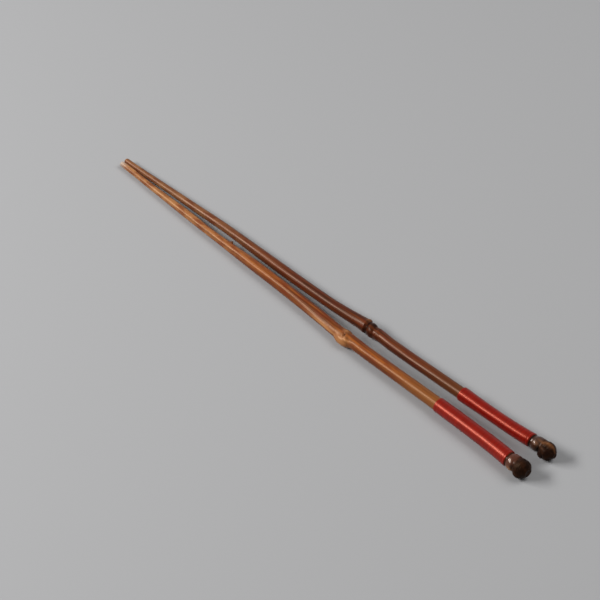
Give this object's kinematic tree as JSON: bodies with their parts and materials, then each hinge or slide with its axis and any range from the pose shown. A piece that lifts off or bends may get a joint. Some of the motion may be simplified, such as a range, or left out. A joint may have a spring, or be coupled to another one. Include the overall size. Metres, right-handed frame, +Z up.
{
  "type": "pair of bamboo chopsticks",
  "caption": "Pair of tapered eating sticks of natural thin bamboo, each with a node, a root knob at the handle end and a handle wound with lacquered red thread",
  "frame": {"origin": "on the surface that the pair lies on, under the middle of the pair's bounding box", "axes": "+X along the sticks from the tips to the root knobs, +Y from the front stick to the back stick, +Z up from the surface"},
  "size_m": [0.25, 0.0222, 0.0077],
  "materials": {
    "bamboo_tan": "varnished bamboo",
    "bamboo_brown": "varnished bamboo",
    "red_thread": "lacquered thread"
  },
  "bodies": {
    "root": {"front_stick": "bamboo_tan", "front_binding": "red_thread", "back_stick": "bamboo_brown", "back_binding": "red_thread"}
  },
  "joints": []
}
